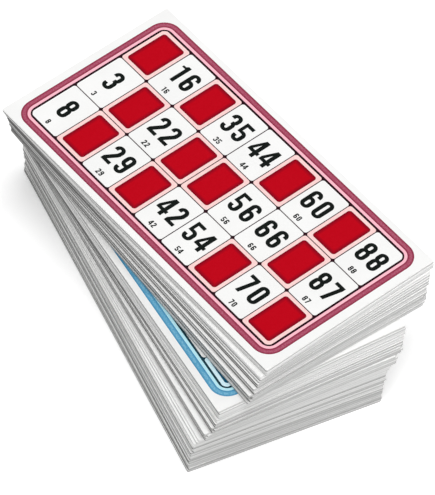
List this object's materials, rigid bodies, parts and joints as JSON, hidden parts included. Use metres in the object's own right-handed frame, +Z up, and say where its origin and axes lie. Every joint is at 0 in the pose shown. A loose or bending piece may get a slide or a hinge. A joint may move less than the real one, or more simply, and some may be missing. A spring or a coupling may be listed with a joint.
{
  "type": "stack of bingo cards",
  "caption": "Stack of long printed bingo cards in two twisted packs, red-printed on top and blue-printed below.",
  "frame": {"origin": "middle of the bottom card's underside", "axes": "+X along the bottom card's long side, the way its rows read; +Y across the card, towards the top of its print; +Z up through the stack"},
  "size_m": [0.23, 0.156, 0.0816],
  "materials": {
    "board": "white coated board, uncoated pale grey at the cut edges",
    "red_border": "printed crimson-rose tint",
    "red_halo": "printed pale pink tint",
    "red_grid": "printed near-black",
    "red_blocks": "printed solid red",
    "red_numbers": "printed black",
    "blue_border": "printed sky-blue tint",
    "blue_halo": "printed pale blue tint",
    "blue_grid": "printed dark teal",
    "blue_blocks": "printed solid teal-blue",
    "blue_numbers": "printed blue-black"
  },
  "bodies": {
    "red_card_01": {"red_card_01": "board", "red_border": "red_border", "red_halo": "red_halo", "red_grid": "red_grid", "red_blocks": "red_blocks", "red_numbers": "red_numbers"},
    "red_card_02": {"red_card_02": "board"},
    "red_card_03": {"red_card_03": "board"},
    "red_card_04": {"red_card_04": "board"},
    "red_card_05": {"red_card_05": "board"},
    "red_card_06": {"red_card_06": "board"},
    "red_card_07": {"red_card_07": "board"},
    "red_card_08": {"red_card_08": "board"},
    "red_card_09": {"red_card_09": "board"},
    "red_card_10": {"red_card_10": "board"},
    "red_card_11": {"red_card_11": "board"},
    "red_card_12": {"red_card_12": "board"},
    "red_card_13": {"red_card_13": "board"},
    "red_card_14": {"red_card_14": "board"},
    "red_card_15": {"red_card_15": "board"},
    "red_card_16": {"red_card_16": "board"},
    "blue_card_01": {"blue_card_01": "board", "blue_border": "blue_border", "blue_halo": "blue_halo", "blue_grid": "blue_grid", "blue_blocks": "blue_blocks", "blue_numbers": "blue_numbers"},
    "blue_card_02": {"blue_card_02": "board"},
    "blue_card_03": {"blue_card_03": "board"},
    "blue_card_04": {"blue_card_04": "board"},
    "blue_card_05": {"blue_card_05": "board"},
    "blue_card_06": {"blue_card_06": "board"},
    "blue_card_07": {"blue_card_07": "board"},
    "blue_card_08": {"blue_card_08": "board"},
    "blue_card_09": {"blue_card_09": "board"},
    "blue_card_10": {"blue_card_10": "board"},
    "blue_card_11": {"blue_card_11": "board"},
    "blue_card_12": {"blue_card_12": "board"},
    "blue_card_13": {"blue_card_13": "board"},
    "blue_card_14": {"blue_card_14": "board"},
    "blue_card_15": {"blue_card_15": "board"},
    "blue_card_16": {"blue_card_16": "board"},
    "blue_card_17": {"blue_card_17": "board"},
    "blue_card_18": {"blue_card_18": "board"},
    "blue_card_19": {"blue_card_19": "board"},
    "blue_card_20": {"blue_card_20": "board"},
    "blue_card_21": {"blue_card_21": "board"},
    "blue_card_22": {"blue_card_22": "board"},
    "blue_card_23": {"blue_card_23": "board"},
    "blue_card_24": {"blue_card_24": "board"},
    "blue_card_25": {"blue_card_25": "board"},
    "blue_card_26": {"blue_card_26": "board"},
    "blue_card_27": {"blue_card_27": "board"},
    "blue_card_28": {"blue_card_28": "board"},
    "blue_card_29": {"blue_card_29": "board"},
    "blue_card_30": {"blue_card_30": "board"},
    "blue_card_31": {"blue_card_31": "board"},
    "blue_card_32": {"blue_card_32": "board"}
  },
  "joints": [
    {"name": "red_card_01_lift", "type": "slide", "parent": "red_card_02", "child": "red_card_01", "axis": [0, 0, 1], "range_m": [0, 0.002]},
    {"name": "red_card_02_lift", "type": "slide", "parent": "red_card_03", "child": "red_card_02", "axis": [0, 0, 1], "range_m": [0, 0.002]},
    {"name": "red_card_03_lift", "type": "slide", "parent": "red_card_04", "child": "red_card_03", "axis": [0, 0, 1], "range_m": [0, 0.002]},
    {"name": "red_card_04_lift", "type": "slide", "parent": "red_card_05", "child": "red_card_04", "axis": [0, 0, 1], "range_m": [0, 0.002]},
    {"name": "red_card_05_lift", "type": "slide", "parent": "red_card_06", "child": "red_card_05", "axis": [0, 0, 1], "range_m": [0, 0.002]},
    {"name": "red_card_06_lift", "type": "slide", "parent": "red_card_07", "child": "red_card_06", "axis": [0, 0, 1], "range_m": [0, 0.002]},
    {"name": "red_card_07_lift", "type": "slide", "parent": "red_card_08", "child": "red_card_07", "axis": [0, 0, 1], "range_m": [0, 0.002]},
    {"name": "red_card_08_lift", "type": "slide", "parent": "red_card_09", "child": "red_card_08", "axis": [0, 0, 1], "range_m": [0, 0.002]},
    {"name": "red_card_09_lift", "type": "slide", "parent": "red_card_10", "child": "red_card_09", "axis": [0, 0, 1], "range_m": [0, 0.002]},
    {"name": "red_card_10_lift", "type": "slide", "parent": "red_card_11", "child": "red_card_10", "axis": [0, 0, 1], "range_m": [0, 0.002]},
    {"name": "red_card_11_lift", "type": "slide", "parent": "red_card_12", "child": "red_card_11", "axis": [0, 0, 1], "range_m": [0, 0.002]},
    {"name": "red_card_12_lift", "type": "slide", "parent": "red_card_13", "child": "red_card_12", "axis": [0, 0, 1], "range_m": [0, 0.002]},
    {"name": "red_card_13_lift", "type": "slide", "parent": "red_card_14", "child": "red_card_13", "axis": [0, 0, 1], "range_m": [0, 0.002]},
    {"name": "red_card_14_lift", "type": "slide", "parent": "red_card_15", "child": "red_card_14", "axis": [0, 0, 1], "range_m": [0, 0.002]},
    {"name": "red_card_15_lift", "type": "slide", "parent": "red_card_16", "child": "red_card_15", "axis": [0, 0, 1], "range_m": [0, 0.002]},
    {"name": "red_card_16_lift", "type": "slide", "parent": "blue_card_01", "child": "red_card_16", "axis": [0, 0, 1], "range_m": [0, 0.002]},
    {"name": "blue_card_01_lift", "type": "slide", "parent": "blue_card_02", "child": "blue_card_01", "axis": [0, 0, 1], "range_m": [0, 0.002]},
    {"name": "blue_card_02_lift", "type": "slide", "parent": "blue_card_03", "child": "blue_card_02", "axis": [0, 0, 1], "range_m": [0, 0.002]},
    {"name": "blue_card_03_lift", "type": "slide", "parent": "blue_card_04", "child": "blue_card_03", "axis": [0, 0, 1], "range_m": [0, 0.002]},
    {"name": "blue_card_04_lift", "type": "slide", "parent": "blue_card_05", "child": "blue_card_04", "axis": [0, 0, 1], "range_m": [0, 0.002]},
    {"name": "blue_card_05_lift", "type": "slide", "parent": "blue_card_06", "child": "blue_card_05", "axis": [0, 0, 1], "range_m": [0, 0.002]},
    {"name": "blue_card_06_lift", "type": "slide", "parent": "blue_card_07", "child": "blue_card_06", "axis": [0, 0, 1], "range_m": [0, 0.002]},
    {"name": "blue_card_07_lift", "type": "slide", "parent": "blue_card_08", "child": "blue_card_07", "axis": [0, 0, 1], "range_m": [0, 0.002]},
    {"name": "blue_card_08_lift", "type": "slide", "parent": "blue_card_09", "child": "blue_card_08", "axis": [0, 0, 1], "range_m": [0, 0.002]},
    {"name": "blue_card_09_lift", "type": "slide", "parent": "blue_card_10", "child": "blue_card_09", "axis": [0, 0, 1], "range_m": [0, 0.002]},
    {"name": "blue_card_10_lift", "type": "slide", "parent": "blue_card_11", "child": "blue_card_10", "axis": [0, 0, 1], "range_m": [0, 0.002]},
    {"name": "blue_card_11_lift", "type": "slide", "parent": "blue_card_12", "child": "blue_card_11", "axis": [0, 0, 1], "range_m": [0, 0.002]},
    {"name": "blue_card_12_lift", "type": "slide", "parent": "blue_card_13", "child": "blue_card_12", "axis": [0, 0, 1], "range_m": [0, 0.002]},
    {"name": "blue_card_13_lift", "type": "slide", "parent": "blue_card_14", "child": "blue_card_13", "axis": [0, 0, 1], "range_m": [0, 0.002]},
    {"name": "blue_card_14_lift", "type": "slide", "parent": "blue_card_15", "child": "blue_card_14", "axis": [0, 0, 1], "range_m": [0, 0.002]},
    {"name": "blue_card_15_lift", "type": "slide", "parent": "blue_card_16", "child": "blue_card_15", "axis": [0, 0, 1], "range_m": [0, 0.002]},
    {"name": "blue_card_16_lift", "type": "slide", "parent": "blue_card_17", "child": "blue_card_16", "axis": [0, 0, 1], "range_m": [0, 0.002]},
    {"name": "blue_card_17_lift", "type": "slide", "parent": "blue_card_18", "child": "blue_card_17", "axis": [0, 0, 1], "range_m": [0, 0.002]},
    {"name": "blue_card_18_lift", "type": "slide", "parent": "blue_card_19", "child": "blue_card_18", "axis": [0, 0, 1], "range_m": [0, 0.002]},
    {"name": "blue_card_19_lift", "type": "slide", "parent": "blue_card_20", "child": "blue_card_19", "axis": [0, 0, 1], "range_m": [0, 0.002]},
    {"name": "blue_card_20_lift", "type": "slide", "parent": "blue_card_21", "child": "blue_card_20", "axis": [0, 0, 1], "range_m": [0, 0.002]},
    {"name": "blue_card_21_lift", "type": "slide", "parent": "blue_card_22", "child": "blue_card_21", "axis": [0, 0, 1], "range_m": [0, 0.002]},
    {"name": "blue_card_22_lift", "type": "slide", "parent": "blue_card_23", "child": "blue_card_22", "axis": [0, 0, 1], "range_m": [0, 0.002]},
    {"name": "blue_card_23_lift", "type": "slide", "parent": "blue_card_24", "child": "blue_card_23", "axis": [0, 0, 1], "range_m": [0, 0.002]},
    {"name": "blue_card_24_lift", "type": "slide", "parent": "blue_card_25", "child": "blue_card_24", "axis": [0, 0, 1], "range_m": [0, 0.002]},
    {"name": "blue_card_25_lift", "type": "slide", "parent": "blue_card_26", "child": "blue_card_25", "axis": [0, 0, 1], "range_m": [0, 0.002]},
    {"name": "blue_card_26_lift", "type": "slide", "parent": "blue_card_27", "child": "blue_card_26", "axis": [0, 0, 1], "range_m": [0, 0.002]},
    {"name": "blue_card_27_lift", "type": "slide", "parent": "blue_card_28", "child": "blue_card_27", "axis": [0, 0, 1], "range_m": [0, 0.002]},
    {"name": "blue_card_28_lift", "type": "slide", "parent": "blue_card_29", "child": "blue_card_28", "axis": [0, 0, 1], "range_m": [0, 0.002]},
    {"name": "blue_card_29_lift", "type": "slide", "parent": "blue_card_30", "child": "blue_card_29", "axis": [0, 0, 1], "range_m": [0, 0.002]},
    {"name": "blue_card_30_lift", "type": "slide", "parent": "blue_card_31", "child": "blue_card_30", "axis": [0, 0, 1], "range_m": [0, 0.002]},
    {"name": "blue_card_31_lift", "type": "slide", "parent": "blue_card_32", "child": "blue_card_31", "axis": [0, 0, 1], "range_m": [0, 0.002]}
  ]
}
